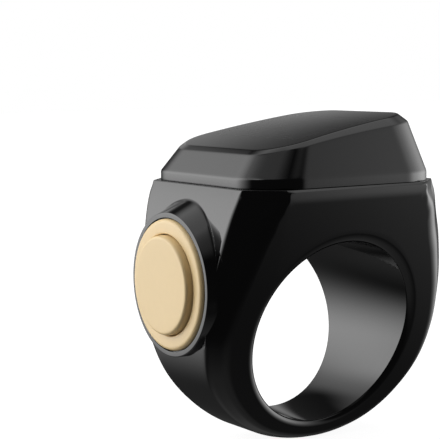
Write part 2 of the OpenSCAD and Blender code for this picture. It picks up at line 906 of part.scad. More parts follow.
// Battery on a foam pad, over the flex that brings the charging current in
pad_foam_t = 0.3;
battery_z = floor_z + flex_t + pad_foam_t;
battery_shift = 0.2;
guard_t = 0.7;
guard_w = 9;
guard_drop = 0.3;
pad_in = 0.5;
pad_corner = 1;
battery_corner = 0.8;
battery_lead_y = 3.4;
battery_lead_r = 0.22;
guard_x = battery_shift - battery_length / 2 - guard_t;

module battery_pad() {
    color("#4a4d52") translate([battery_shift, 0, floor_z + flex_t])
        slab(battery_length - 2 * pad_in, battery_width - 2 * pad_in, pad_corner, pad_foam_t);
}

module battery_cell() {
    color("#b7bac0") translate([battery_shift, 0, battery_z])
        slab(battery_length, battery_width, battery_corner, battery_thickness);
}

module battery_guard() {
    color("#1d5c3a") translate([guard_x, -guard_w / 2, battery_z])
        cube([guard_t, guard_w, battery_thickness - guard_drop]);
}

module battery_lead(y) {
    z = battery_z + battery_thickness - guard_drop;
    translate([guard_x + guard_t / 2, y, z]) cylinder(r = battery_lead_r, h = board_z - z, $fn = fine_fn);
}

module battery_lead_red() {
    color("#b5261e") battery_lead(battery_lead_y);
}

module battery_lead_black() {
    color("#161616") battery_lead(-battery_lead_y);
}

// Charging: two pads in the crown of the bore and two magnets that hold the charger
module charge_pads() {
    color("#d9b56a") for (y = [-1, 1]) {
        translate([0, y * pad_y, 0]) {
            disc(pad_r - joint_gap, bore_r + pad_recess, floor_z);
            disc(pad_flange_r, floor_z - pad_flange_t, floor_z);
        }
    }
}

module charge_magnets() {
    color("#9fa3a8") for (x = [-1, 1]) {
        translate([x * magnet_x, 0, 0]) disc(magnet_r, floor_z - magnet_t, floor_z);
    }
}

charge_flex_w = 2.6;
charge_flex_in = 1.1;
charge_flex_over = 1.2;
charge_bend_r = 0.7;

module charge_flex() {
    edge = chamber_width / 2 - charge_flex_in;
    z = floor_z + flex_t / 2;
    color("#b8722a") rotate([0, 0, 90]) ribbon(
        concat(
            [[-pad_y - charge_flex_over, z]],
            arc([edge - charge_bend_r, z + charge_bend_r], charge_bend_r, -90, 0, bend_steps),
            [[edge, board_z]]),
        flex_t, charge_flex_w, 0);
}

// Button: metal trim ring, pressed disc, spring, switch and its small board
trim_ease = 0.2;
skirt_drop = 0.6;
disc_ease = 0.3;
ease_in_share = 0.3;
ease_low_share = 0.4;
stem_r = 1;
stem_over = 0.2;

module button_trim() {
    color("#d8bd8c") on_button() difference() {
        union() {
            disc(trim_r, trim_back, trim_front - trim_ease);
            disc(trim_r - trim_ease, trim_back, trim_front);
            disc(pocket_r - joint_gap, lip_z - flange_t - skirt_drop, trim_back);
        }
        disc(trim_bore_r, 0, trim_front + overrun);
        disc(trim_inner_r, 0, lip_z);
    }
}

module button_disc() {
    front = trim_front + disc_proud;
    color("#e8d2ac") on_button() {
        disc(disc_r, flange_z, front - disc_ease);
        disc(disc_r - disc_ease * ease_in_share, flange_z, front - disc_ease * ease_low_share);
        disc(disc_r - disc_ease, flange_z, front);
        disc(flange_r, flange_z, flange_z + flange_t);
        disc(stem_r, stem_z, flange_z + stem_over);
    }
}

module button_seal() {
    color("#303236") on_button() tube(trim_r - joint_gap, pocket_r + joint_gap, trim_back - seal_t, trim_back);
}

spring_r = 3.9;
spring_wire = 0.18;
spring_turns = 3;
spring_turn_steps = 20;
spring_end_share = 0.16;

// Return spring: three coils from the switch board to the disc's flange
module button_spring() {
    steps = spring_turns * spring_turn_steps;
    sides = 8;
    z0 = button_board_t + spring_wire;
    z1 = flange_z - spring_wire;
    path = [for (i = [0:steps])
        let(a = i * 360 * spring_turns / steps)
        let(s = smooth((i / steps - spring_end_share) / (1 - 2 * spring_end_share)))
        [spring_r * cos(a), spring_r * sin(a), mix(z0, z1, s)]];
    rings = [for (i = [0:steps])
        let(a = i * 360 * spring_turns / steps)
        [for (k = [0:sides - 1])
            let(b = k * 360 / sides)
            path[i] + spring_wire * [cos(b) * cos(a), cos(b) * sin(a), sin(b)]]];
    color("#c6c9cd") on_button() polyhedron(
        points = [for (r = rings) for (p = r) p],
        faces = concat(
            [[for (k = [0:sides - 1]) k]],
            [for (i = [0:steps - 1]) for (k = [0:sides - 1])
                let(a = i * sides + k)
                let(b = i * sides + (k + 1) % sides)
                each [[a, a + sides, b + sides], [a, b + sides, b]]],
            [[for (k = [sides - 1:-1:0]) steps * sides + k]]));
}

switch_w = 3.4;
case_floor = 0.1;
plunger_r = 0.8;
plunger_l = switch_t + plunger_out - case_floor - button_travel - slip_gap;
button_board_gap = 0.9;

module switch_case() {
    color("#2a2a2c") on_button() difference() {
        translate([-switch_w / 2, -switch_w / 2, button_board_t]) cube([switch_w, switch_w, switch_t]);
        disc(plunger_r + joint_gap, button_board_t + case_floor, far);
    }
}

module switch_plunger() {
    color("#e6e2d8") on_button() disc(plunger_r, stem_z - plunger_l, stem_z);
}

module button_board() {
    color("#14532f") on_button() disc(pocket_r - button_board_gap, 0, button_board_t);
}

low_socket_inset = 2.3;
low_socket_x = low_socket_inset - chamber_length / 2;
low_socket_size = [1.3, 4, 0.7];

module button_socket() {
    color("#e8e6df") translate([low_socket_x, 0, board_z - low_socket_size[2] / 2])
        cube(low_socket_size, center = true);
}

button_flex_w = 3;
button_flex_foot = 4.3;
button_flex_out = 1.9;
button_flex_down = 0.7;
button_flex_end = 0.45;
wide_bend_r = 0.5;
tight_bend_r = 0.3;

module button_flex() {
    x0 = -pocket_x - button_board_t - flex_t / 2;
    x1 = guard_x - button_flex_out;
    z1 = channel_high - button_flex_down;
    z2 = board_z - button_flex_end;
    color("#b8722a") ribbon(
        concat(
            [[x0, button_height + button_flex_foot]],
            arc([x0 + wide_bend_r, z1 - wide_bend_r], wide_bend_r, 180, 90, bend_steps),
            arc([x1 - wide_bend_r, z1 + wide_bend_r], wide_bend_r, -90, 0, bend_steps),
            arc([x1 + tight_bend_r, z2 - tight_bend_r], tight_bend_r, 180, 90, bend_steps),
            [[low_socket_x - low_socket_size[0] / 2, z2]]),
        flex_t, button_flex_w, 0);
}

ring_body();
top_cap();
cap_seal();
display_mask();
display_strokes();
display_panel();
display_bracket();
display_flex();
display_socket();
main_board();
board_screws();
radio_chip();
charging_chip();
memory_chip();
clock_crystal();
chip_antenna();
board_capacitors();
motor_base();
motor_can();
motor_shaft();
motor_rotor();
motor_weight();
motor_leads();
battery_pad();
battery_cell();
battery_guard();
battery_lead_red();
battery_lead_black();
charge_pads();
charge_magnets();
charge_flex();
button_trim();
button_disc();
button_seal();
button_spring();
switch_case();
switch_plunger();
button_board();
button_socket();
button_flex();
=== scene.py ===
"""Looks of the digital tasbih counter: gloss shells, gold button, lit numbers and a soft studio."""

import math

import bmesh
import bpy
from mathutils import Matrix, Vector


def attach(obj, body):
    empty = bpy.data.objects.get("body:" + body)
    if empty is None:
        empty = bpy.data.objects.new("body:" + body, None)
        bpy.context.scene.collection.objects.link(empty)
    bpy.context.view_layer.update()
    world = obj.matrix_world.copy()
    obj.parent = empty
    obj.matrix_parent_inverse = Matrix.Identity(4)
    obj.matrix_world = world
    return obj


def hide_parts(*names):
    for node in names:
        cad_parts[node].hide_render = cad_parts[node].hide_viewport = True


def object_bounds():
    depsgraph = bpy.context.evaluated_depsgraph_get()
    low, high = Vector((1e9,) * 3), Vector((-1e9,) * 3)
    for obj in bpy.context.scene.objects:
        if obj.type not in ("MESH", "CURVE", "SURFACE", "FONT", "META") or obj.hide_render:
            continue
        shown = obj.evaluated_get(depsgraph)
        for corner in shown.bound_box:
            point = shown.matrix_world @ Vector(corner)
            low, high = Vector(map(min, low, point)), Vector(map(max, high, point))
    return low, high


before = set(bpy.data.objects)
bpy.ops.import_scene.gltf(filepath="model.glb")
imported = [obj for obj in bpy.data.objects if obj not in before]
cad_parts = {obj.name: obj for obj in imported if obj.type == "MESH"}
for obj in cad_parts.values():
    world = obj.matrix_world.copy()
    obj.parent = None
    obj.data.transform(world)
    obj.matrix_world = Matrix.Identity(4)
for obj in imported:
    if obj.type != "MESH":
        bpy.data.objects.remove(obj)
box_at_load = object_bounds()

MM = 0.001

# Ring, in millimetres and degrees: the CAD part's own sizes
BORE_R = 10.0
SHOULDER = 6.0
TOP_LENGTH = 24.8
TOP_WIDTH = 24.6
CORNER_CUT = 3.5
BASE_WIDTH = 7.8
BASE_WALL = 2.2
RIM_REACH = 1.0
RIM_DEPTH = 0.6
EDGE_EASE = 0.5
SOFT_EASE = 1.4
TOP_BAND = 1.05
FLOOR_WALL = 1.4
CHAMBER = (21.2, 18.4, 4.0)
POST_INSET = 2.0
POST_R = 1.2
BOARD_DROP = 1.5
PAD_Y = 2.6
PAD_R = 1.1
OUTLINE_SHARES = (0, 0.021, 0.087, 0.17, 0.273, 0.352, 0.452, 0.64, 1)
BAND_SHARE = 0.7
CUT_LOW_SHARE = 0.36
EDGE_LOW_SHARE = 0.12
REACH_LOW_SHARE = 0.75
CUT_POWER = 3
EDGE_POWER = 2.2
CUT_LEAN = 0.83
BAND_BLEND = 0.4
SMALL_EASE = 0.15
SOFT_SPAN = 4.0
EASE_TURN = 1.5
EASE_GAP_SHARE = 0.42
EASE_REST_SHARE = 0.7
FOOT_SHARES = (0.3, 0.65)
BAND_ROOM_SHARE = 0.2
BAND_REACH_SHARE = 0.15

# Ring: where the scene departs from the CAD part, in the top edge's chamfer, the eased corner of the
# outline, the fold at the band's foot and the slimmer side away from the button. SLIM_TURNS has the
# turns at which that side starts to slim and to fill out again, each followed by its span
TOP_DROP = 0.26
TOP_RUN = 0.26
CORNER_EASE = 0.12
CORNER_SPAN = 4
FOOT_FADE = 1.0
FOOT_EASE = 0.1
FOOT_EASE_SHARE = 0.2
FAR_SLIM = 0.22
FAR_TAPER = 0.0005
SLIM_TURNS = (34, 10, 44, 9)

# Ring: steps of the mesh along its section, from the bore outwards
RIM_STEPS = 12
FACE_STEPS = 8
BAND_STEPS = 3
LOW_STEPS = 8
FACET_SHARES = (0.3, 0.6)
FOOT_STEPS = 2
HIGH_STEPS = 6
TOP_STEPS = 10

TOP_Z = BORE_R + SHOULDER
BASE_Z = BORE_R + BASE_WALL
FLOOR_Z = BORE_R + FLOOR_WALL
HALF_L = TOP_LENGTH / 2
HALF_W = TOP_WIDTH / 2
FACE_SLOPE = (HALF_W - BASE_WIDTH / 2) / (TOP_Z + BASE_Z - BAND_SHARE * TOP_BAND)
BAND_Z = TOP_Z - TOP_BAND
BAND_REACH = BAND_BLEND + BAND_BLEND / 4
CORNER_SUM = HALF_L + HALF_W - CORNER_CUT
CORNER_DIST = math.hypot(HALF_L, TOP_Z)
CORNER_TURN = math.degrees(math.atan2(TOP_Z, HALF_L))
CUT_TURN = math.degrees(math.atan2(TOP_Z, HALF_L - CORNER_CUT))

# The ring's sections, up to the top: turns at which their spacing changes, and the steps that follow
RING_SPANS = (
    (-90, 110),
    (CORNER_TURN - 3, 12),
    (CORNER_TURN - 0.5, 16),
    (CORNER_TURN + 0.5, 12),
    (CORNER_TURN + 3, 8),
    (CUT_TURN, 18),
)

# Cap: the CAD part's sizes, apart from a little more height, tilt and bow, and a flatter near bevel
CAP_LENGTH = 23.8
CAP_WIDTH = 23.6
CAP_CORNER = 5.2
CAP_BAND = 1.0
CAP_HEIGHT = 5.75
CAP_TILT = 10.1
CAP_BOW = 0.34
BOW_SPAN = 10.0
BEVEL_NEAR = 0.28
BEVEL_FAR = 0.9
INSET_NEAR = 0.7
CAP_WALL = 1.2
LEAN_NEAR = 0.8
LEAN_FAR = 0.23
LEAN_SIDE = 0.42
EASE_SHARE = 0.95
NEAR_WALL = 2.8
FAR_WALL = 2.4
SIDE_WALL = 2.8
HOLLOW_CORNER = 4.0
CAP_FOOT_EASE = 0.06
CAP_BAND_EASE = 0.18
CAP_EDGE_EASE = 0.12
CAP_FOOT_SHARE = 0.97
CAP_INNER_SHARE = 0.96
CAP_ROW_SHARES = (0.97, 0.9, 0.8, 0.7, 0.6, 0.5, 0.4, 0.3, 0.2, 0.1, 0.03)
CAP_ARC_STEPS = 28
CAP_SIDE_STEPS = 40
CAP_WALL_STEPS = 12
FIRST_WALL = 3.0
WALL_TRIES = 14
CAP_HL = CAP_LENGTH / 2
CAP_HW = CAP_WIDTH / 2
CEILING = CAP_HEIGHT - CAP_WALL

# Button: height over the bore's centre, radii, and depths outwards from the pocket's floor
BUTTON_Z = 5.7
BOSS_R = 7.6
TRIM_R = 6.95
DISC_R = 5.25
POCKET_X = FLOOR_Z
POCKET_R = 6.3
TRIM_T = 0.9
TRIM_FRONT = 4.8
TRIM_SHOW = 0.35
TRIM_BACK = TRIM_FRONT - TRIM_T
TRIM_UPRIGHT = 0.2
TRIM_EASE = 0.5
TRIM_INNER_EASE = 0.2
TRIM_BACK_EASE = 0.05
SEAL_T = 0.2
BOSS_FRONT = TRIM_FRONT - TRIM_SHOW
DISC_PROUD = 0.75
DISC_DRAW = 0.08
DISC_EASE = 0.34
DISC_BACK = 2.45
FLANGE_T = 0.6
STEM_BACK = 2.0
STEM_R = 1.0
JOINT_GAP = 0.05
TRIM_GAP = 0.12
DISC_GAP = 0.1
SLIP_GAP = 0.1
FLANGE_LIP = 0.5
FLANGE_R = DISC_R + FLANGE_LIP
DISC_FACE_RADII = (DISC_R - 0.9, DISC_R * 0.5, 0.3)
SKIRT_LOW = 1.9
LIP_LOW = 3.1
BOSS_EASE = 0.12
BOSS_REACH = 1.75
LOW_REACH = 0.35
BOSS_BLEND = 0.35
DRAFT_LOW = 0.02
DRAFT_HIGH = 0.45
DRAFT_TURN = 70
DRAFT_POWER = 2
BOSS_SINK = 0.01
BOSS_BACK = 1.0
BOSS_MARGIN = 0.25
BOSS_STEPS = 240
ROOT_STEPS = 40
ROOT_POWER = 3
FIRST_TURN = 20.0
TURN_TRIES = 20

# Steps of an eased edge, from one that is hardly seen to a round one
HIDDEN_STEPS = 3
EDGE_STEPS = 5
SOFT_STEPS = 6
ROUND_STEPS = 9

# How far the cutters reach past what they cut
OVERRUN = 1
CHAMBER_OVERRUN = 2
PAD_OVERRUN = 0.5

# Angles in degrees above which an edge stays sharp in the shading
RING_SHARP = 32
CAP_SHARP = 38
BUTTON_SHARP = 40


def clamp01(v):
    return min(max(v, 0.0), 1.0)


def smooth(v):
    c = clamp01(v)
    return c * c * (3 - 2 * c)


def mix(a, b, s):
    return a + (b - a) * s


def sin_of(t):
    return math.sin(math.radians(t))


def cos_of(t):
    return math.cos(math.radians(t))


def soft_min(a, b, reach):
    h = clamp01(0.5 + 0.5 * (b - a) / reach)
    return mix(b, a, h) - reach * h * (1 - h)


def spread(start, end, steps):
    """Evenly spaced values, as many as steps says, from start up to but without end."""
    return [mix(start, end, i / steps) for i in range(steps)]


def eased(before, corner, after, steps):
    """Points that turn smoothly at a corner, from before to after."""
    points = []
    for i in range(steps + 1):
        s = i / steps
        points.append(tuple(
            mix(mix(p, q, s), mix(q, r, s), s) for p, q, r in zip(before, corner, after)
        ))
    return points


def curve(shares, s):
    """Smooth curve through evenly spaced shares."""
    n = len(shares) - 1
    f = min(int(s * n), n - 1)
    u = s * n - f
    a, b, c = shares[abs(f - 1)], shares[f], shares[f + 1]
    d = shares[f + 2] if f + 2 <= n else 2 * c - b
    return b + u / 2 * (c - a + u * (2 * a - 5 * b + 4 * c - d + u * (3 * (b - c) + d - a)))


def side_turn(t):
    return 180 - t if t > 90 else t


def rise(t):
    return clamp01((side_turn(t) + 90) / (CORNER_TURN + 90))


def side_line(t):
    return BASE_Z + (CORNER_DIST - BASE_Z) * curve(OUTLINE_SHARES, (t + 90) / (CORNER_TURN + 90))


def outline(t):
    """Distance of the ring's outline from the bore centre, seen along the finger."""
    s = side_turn(t)
    start, grow, end, fall = SLIM_TURNS
    slim = FAR_SLIM * smooth((s - start) / grow) * (1 - smooth((s - end) / fall)) if t < 90 else 0
    side = side_line(s) - slim
    if s < CORNER_TURN - CORNER_SPAN:
        return side
    flat = TOP_Z / sin_of(s)
    if s > CORNER_TURN + CORNER_SPAN:
        return flat
    return soft_min(side, flat, CORNER_EASE)


def side_face(z):
    """Half width of the ring's sides at a height, with the upright band at the top."""
    fall = TOP_Z - z
    return HALF_W - FACE_SLOPE * (fall - BAND_SHARE * soft_min(fall, TOP_BAND, BAND_BLEND))


def cut_start(t):
    """Distance at which the corner cut leaves the side: upright in the band, leaning below it."""
    upright = (HALF_L - CORNER_CUT) / cos_of(t)
    if upright * sin_of(t) > BAND_Z:
        return upright
    return (HALF_L - CORNER_CUT + CUT_LEAN * BAND_Z) / (cos_of(t) + CUT_LEAN * sin_of(t))


CORNER_START = cut_start(CORNER_TURN)


def edge_r(t):
    s, r = side_turn(t), outline(t)
    if s < CORNER_TURN:
        return r - (CORNER_DIST - CORNER_START) * mix(EDGE_LOW_SHARE, 1, rise(t) ** EDGE_POWER)
    eased_r = r - TOP_DROP / sin_of(s)
    return min(cut_start(s), eased_r) if s < CUT_TURN else eased_r


def edge_y(t):
    s, r = side_turn(t), outline(t)
    if s < CORNER_TURN:
        return side_face(r * sin_of(s)) - CORNER_CUT * mix(CUT_LOW_SHARE, 1, rise(t) ** CUT_POWER)
    return min(HALF_W - TOP_RUN, HALF_L + HALF_W - CORNER_CUT - abs(r * cos_of(s)))


def between(a, b, s):
    return tuple(mix(p, q, s) for p, q in zip(a, b))


def part_way(a, b, distance):
    return between(a, b, distance / math.dist(a, b))


def band_foot(t, low, high):
    """Point of the section near to where the corner facet meets the foot of the upright band."""
    foot_r = BAND_Z / sin_of(side_turn(t)) if side_turn(t) > 0 else high[0]
    share = clamp01((foot_r - low[0]) / (high[0] - low[0]))
    s = min(max(share, FOOT_SHARES[0]), FOOT_SHARES[1])
    if share == 0 or share == 1:
        return between(low, high, s)
    flat = between(low, high, share)
    proud = CORNER_SUM - abs(foot_r * cos_of(t)) - flat[1]
    foot = (foot_r, flat[1] + proud * clamp01((1 - share) / FOOT_FADE))
    if share >= s:
        return between(low, foot, s / share)
    return between(foot, high, (s - share) / (1 - share))


def half_section(t):
    """Half of the ring's section at a turn, as distance and half width, from the bore outwards."""
    up = sin_of(side_turn(t))
    grow = mix(REACH_LOW_SHARE, 1, rise(t))
    low = (edge_r(t), side_face(edge_r(t) * up))
    high = (outline(t), edge_y(t))
    foot = band_foot(t, low, high)
    gap = math.dist(low, foot)
    rest = math.dist(foot, high)
    near_top = smooth((side_turn(t) - CORNER_TURN) / EASE_TURN + 1)
    softness = smooth((BAND_Z - low[0] * up) / SOFT_SPAN)
    low_ease = min(mix(EDGE_EASE, SOFT_EASE, softness), EASE_GAP_SHARE * gap)
    foot_ease = min(FOOT_EASE, FOOT_EASE_SHARE * gap, FOOT_EASE_SHARE * rest)
    high_ease = min(EDGE_EASE * mix(1, SMALL_EASE, near_top), EASE_REST_SHARE * rest)

    def face(r):
        return (r, side_face(r * up))

    points = []
    for a in spread(0, 90, RIM_STEPS):
        r = BORE_R + RIM_REACH * grow * (1 - cos_of(a))
        points.append((r, face(r)[1] - RIM_DEPTH * grow * (1 - sin_of(a))))
    start, end = BORE_R + RIM_REACH * grow, low[0] - low_ease
    room = BAND_ROOM_SHARE * (end - start)
    band_r = BAND_Z / up if up > 0 else end
    band_r = min(max(band_r, start + room), end - room)
    reach = min(BAND_REACH_SHARE * (end - start), BAND_REACH)
    points += [face(r) for r in spread(start, band_r - reach, FACE_STEPS)]
    points += [face(r) for r in spread(band_r - reach, band_r + reach, FACE_STEPS)]
    points += [face(r) for r in spread(band_r + reach, end, BAND_STEPS)]
    after, before = part_way(low, foot, low_ease), part_way(foot, low, foot_ease)
    points += eased(face(end), low, after, LOW_STEPS)
    points += [between(after, before, q) for q in FACET_SHARES]
    points += eased(before, foot, part_way(foot, high, foot_ease), FOOT_STEPS)
    edge = high[1] - high_ease
    points += eased(part_way(high, foot, high_ease), high, (high[0], edge), HIGH_STEPS)
    points += [(high[0], y) for y in spread(edge, 0, TOP_STEPS)[1:]]
    return points


def section(t):
    half = half_section(t)
    return half + [(outline(t), 0.0)] + [(r, -y) for r, y in reversed(half)]


def ring_turns():
    up = []
    for (start, steps), (end, _) in zip(RING_SPANS, RING_SPANS[1:] + ((90, 0),)):
        up += spread(start, end, steps)
    return up + [90] + [180 - t for t in reversed(up[1:])]


# Meshes
def make_mesh(name, points, faces):
    """Object of points in millimetres."""
    mesh = bpy.data.meshes.new(name)
    mesh.from_pydata([(x * MM, y * MM, z * MM) for x, y, z in points], [], faces)
    mesh.update()
    obj = bpy.data.objects.new(name, mesh)
    bpy.context.collection.objects.link(obj)
    return obj


def loft(name, rows, ring=False, ends=False):
    """Skin over closed rows of points. With ring, the last row is joined to the first."""
    n, m = len(rows), len(rows[0])
    faces = []
    for i in range(n if ring else n - 1):
        for j in range(m):
            a, b = i * m + j, i * m + (j + 1) % m
            k = (i + 1) % n
            faces.append((a, k * m + j, k * m + (j + 1) % m, b))
    if ends:
        faces.append(tuple(range(m)))
        faces.append(tuple((n - 1) * m + j for j in reversed(range(m))))
    return make_mesh(name, [p for row in rows for p in row], faces)


def face_outwards(obj):
    mesh = bmesh.new()
    mesh.from_mesh(obj.data)
    bmesh.ops.recalc_face_normals(mesh, faces=mesh.faces)
    mesh.to_mesh(obj.data)
    mesh.free()


def shade(obj, angle):
    for polygon in obj.data.polygons:
        polygon.use_smooth = True
    obj.data.set_sharp_from_angle(angle=math.radians(angle))


def cut(obj, cutters):
    """Takes the cutters out of obj, which keeps its own mesh form elsewhere."""
    for cutter in cutters:
        modifier = obj.modifiers.new("cut", "BOOLEAN")
        modifier.operation = "DIFFERENCE"
        modifier.solver = "EXACT"
        modifier.material_mode = "TRANSFER"
        modifier.object = cutter
    bpy.context.view_layer.update()
    graph = bpy.context.evaluated_depsgraph_get()
    mesh = bpy.data.meshes.new_from_object(obj.evaluated_get(graph))
    obj.modifiers.clear()
    obj.data = mesh


def join(name, objects):
    """One object of several meshes."""
    joined = bmesh.new()
    for obj in objects:
        joined.from_mesh(obj.data)
        bpy.data.objects.remove(obj)
    mesh = bpy.data.meshes.new(name)
    joined.to_mesh(mesh)
    joined.free()
    obj = bpy.data.objects.new(name, mesh)
    bpy.context.collection.objects.link(obj)
    return obj


def slab_outline(length, width, corner, steps=16):
    points = []
    for k, (sx, sy) in enumerate(((1, 1), (-1, 1), (-1, -1), (1, -1))):
        for i in range(steps + 1):
            a = 90 * (k + i / steps)
            points.append((
                sx * (length / 2 - corner) + corner * cos_of(a),
                sy * (width / 2 - corner) + corner * sin_of(a),
            ))
    return points


def prism(name, outline_points, low, high):
    rows = [[(x, y, z) for x, y in outline_points] for z in (low, high)]
    obj = loft(name, rows, ends=True)
    face_outwards(obj)
    return obj


def circle_points(r, steps=96):
    return [(r * cos_of(360 * i / steps), r * sin_of(360 * i / steps)) for i in range(steps)]


def rod(name, centre, r, low, high):
    return prism(name, [(centre[0] + x, centre[1] + y) for x, y in circle_points(r)], low, high)


def lathe(profile, steps=192):
    """Rows of points round the button's axis, from a profile of radii and depths."""
    return [
        [(-POCKET_X - depth, y, BUTTON_Z + z) for y, z in circle_points(r, steps)]
        for r, depth in profile
    ]


def turned(name, profile, closed_ends):
    obj = loft(name, lathe(profile), ring=not closed_ends, ends=closed_ends)
    face_outwards(obj)
    return obj


# Boss that carries the button
def turn_at(z):
    """Turn at which the outline of the button's side stands at a height."""
    t = FIRST_TURN
    for _ in range(TURN_TRIES):
        t = math.degrees(math.asin(z / outline(180 - t)))
    return 180 - t


def button_side(y, z):
    """Distance of the ring's button side from the YZ plane."""
    t = turn_at(z)
    y1, r2 = edge_y(t), edge_r(t)
    y2 = side_face(r2 * sin_of(t))
    return mix(outline(t), r2, clamp01((abs(y) - y1) / (y2 - y1))) * -cos_of(t)


def boss_profile(a):
    """Cone that grows softly out of the ring's own surface, and its eased front edge."""
    lean = ((1 + cos_of(a - DRAFT_TURN)) / 2) ** DRAFT_POWER
    draft = mix(DRAFT_LOW, DRAFT_HIGH, lean)
    wide = BOSS_R + BOSS_REACH * mix(LOW_REACH, 1, lean)
    side = side_face(BUTTON_Z + wide * sin_of(a)) - BOSS_MARGIN
    wide = min(wide, side / max(abs(cos_of(a)), BOSS_MARGIN))
    front = POCKET_X + BOSS_FRONT
    edge = front - BOSS_EASE
    points = [(wide, POCKET_X + BOSS_BACK)]
    for share in spread(1, 0, ROOT_STEPS):
        r = BOSS_R + (wide - BOSS_R) * share ** ROOT_POWER
        ground = button_side(r * cos_of(a), BUTTON_Z + r * sin_of(a)) - BOSS_SINK
        wall = edge - (r - BOSS_R) / draft
        points.append((r, min(-soft_min(-ground, -wall, BOSS_BLEND), edge)))
    points += eased((BOSS_R, edge), (BOSS_R, front), (BOSS_R - BOSS_EASE, front), EDGE_STEPS)
    return points


def make_boss():
    rows = []
    for i in range(BOSS_STEPS):
        a = 360 * i / BOSS_STEPS
        rows.append([(-x, r * cos_of(a), BUTTON_Z + r * sin_of(a)) for r, x in boss_profile(a)])
    columns = [[row[j] for row in rows] for j in range(len(rows[0]))]
    boss = loft("boss", columns, ends=True)
    face_outwards(boss)
    return boss


def ring_cutters():
    """Chamber, button pocket and pad holes. The board's posts stay in the chamber."""
    chamber = prism("chamber", slab_outline(*CHAMBER), FLOOR_Z, TOP_Z + CHAMBER_OVERRUN)
    post_x, post_y = CHAMBER[0] / 2 - POST_INSET, CHAMBER[1] / 2 - POST_INSET
    posts = [
        rod("post", (sx * post_x, sy * post_y), POST_R, FLOOR_Z - OVERRUN, TOP_Z - BOARD_DROP)
        for sx in (-1, 1) for sy in (-1, 1)
    ]
    cut(chamber, posts)
    low, high = BORE_R - OVERRUN, FLOOR_Z + PAD_OVERRUN
    pads = [rod("pad_hole", (0, sy * PAD_Y), PAD_R, low, high) for sy in (-1, 1)]
    seat_r, seat = TRIM_R + TRIM_GAP, TRIM_BACK - SEAL_T
    profile = [(POCKET_R, 0), (POCKET_R, seat), (seat_r, seat), (seat_r, BOSS_FRONT + OVERRUN)]
    pocket = turned("pocket", profile, True)
    for cutter in posts:
        bpy.data.objects.remove(cutter)
    return [chamber, pocket] + pads


def tapered(x, y):
    """The ring's sides close in a little towards the side without the button."""
    return y * (1 - FAR_TAPER * max(x + HALF_L - CORNER_CUT, 0))


def make_ring():
    rows = [
        [(r * cos_of(t), tapered(r * cos_of(t), y), r * sin_of(t)) for r, y in section(t)]
        for t in ring_turns()
    ]
    shell = loft("shell", rows, ring=True)
    face_outwards(shell)
    boss = make_boss()
    cutters = ring_cutters()
    cut(shell, cutters)
    cut(boss, cutters[1:2])
    for cutter in cutters:
        bpy.data.objects.remove(cutter)
    ring = join("ring_shell", [shell, boss])
    shade(ring, RING_SHARP)
    return ring


# Cap
def cap_top(x):
    return TOP_Z + CAP_HEIGHT + math.tan(math.radians(CAP_TILT)) * x - CAP_BOW * (x / BOW_SPAN) ** 2


def far_share(x):
    """0 near the button, 1 at the side away from it."""
    return clamp01((x / BOW_SPAN + 1) / 2)


def bevel(x):
    """Height of the easing between the cap's walls and its top."""
    return mix(BEVEL_NEAR, BEVEL_FAR, far_share(x))


def cap_lean(p, h):
    """Where a point of the cap's foot stands after leaning inwards over a height."""
    lean = LEAN_NEAR if p[0] < 0 else LEAN_FAR
    return (p[0] * (1 - lean * h / CAP_HL), p[1] * (1 - LEAN_SIDE * h / CAP_HW))


def wall_height(p):
    h = FIRST_WALL
    for _ in range(WALL_TRIES):
        x = cap_lean(p, h)[0]
        h = cap_top(x) - bevel(x) - TOP_Z - CAP_BAND
    return h


def cap_foot():
    """Outline of the cap's foot: rounded corners with evenly filled sides between them."""
    arcs = slab_outline(CAP_LENGTH, CAP_WIDTH, CAP_CORNER, CAP_ARC_STEPS)
    points = []
    for k in range(4):
        first, end = k * (CAP_ARC_STEPS + 1), (k + 1) * (CAP_ARC_STEPS + 1)
        points += arcs[first:end]
        last, following = arcs[end - 1], arcs[end % len(arcs)]
        points += [between(last, following, s) for s in spread(0, 1, CAP_SIDE_STEPS)[1:]]
    return points


def cap_column(p):
    """Points of the cap's skin above one point of its foot, up to the top's edge."""
    h = wall_height(p)
    q = cap_lean(p, h)
    foot = (p[0], p[1], TOP_Z)
    band = (p[0], p[1], TOP_Z + CAP_BAND)
    low = (q[0], q[1], TOP_Z + CAP_BAND + h)
    b = bevel(q[0]) * EASE_SHARE
    inset = mix(INSET_NEAR, b, far_share(q[0]))
    x = q[0] - math.copysign(inset * min(abs(q[0]) / BOW_SPAN, 1), q[0])
    y = q[1] - math.copysign(b * min(abs(q[1]) / BOW_SPAN, 1), q[1])
    high = (x, y, cap_top(x))
    inner_x = x * CAP_INNER_SHARE
    inner = (inner_x, y * CAP_INNER_SHARE, cap_top(inner_x))

    def along(a, c, distance):
        a, c = Vector(a), Vector(c)
        return tuple(a + (c - a).normalized() * distance)

    under = (p[0] * CAP_FOOT_SHARE, p[1] * CAP_FOOT_SHARE, TOP_Z)
    wall_low, wall_high = along(band, low, CAP_BAND_EASE), along(low, band, CAP_EDGE_EASE)
    wall = [Vector(wall_low).lerp(Vector(wall_high), s) for s in spread(0, 1, CAP_WALL_STEPS)[1:]]
    points = [under]
    points += eased(
        along(foot, under, CAP_FOOT_EASE), foot, along(foot, band, CAP_FOOT_EASE), HIDDEN_STEPS)
    points += eased(along(band, foot, CAP_BAND_EASE), band, wall_low, SOFT_STEPS)
    points += [tuple(point) for point in wall]
    points += eased(wall_high, low, along(low, high, CAP_EDGE_EASE), EDGE_STEPS)
    points += eased(
        along(high, low, CAP_EDGE_EASE), high, along(high, inner, CAP_EDGE_EASE), EDGE_STEPS)
    return points


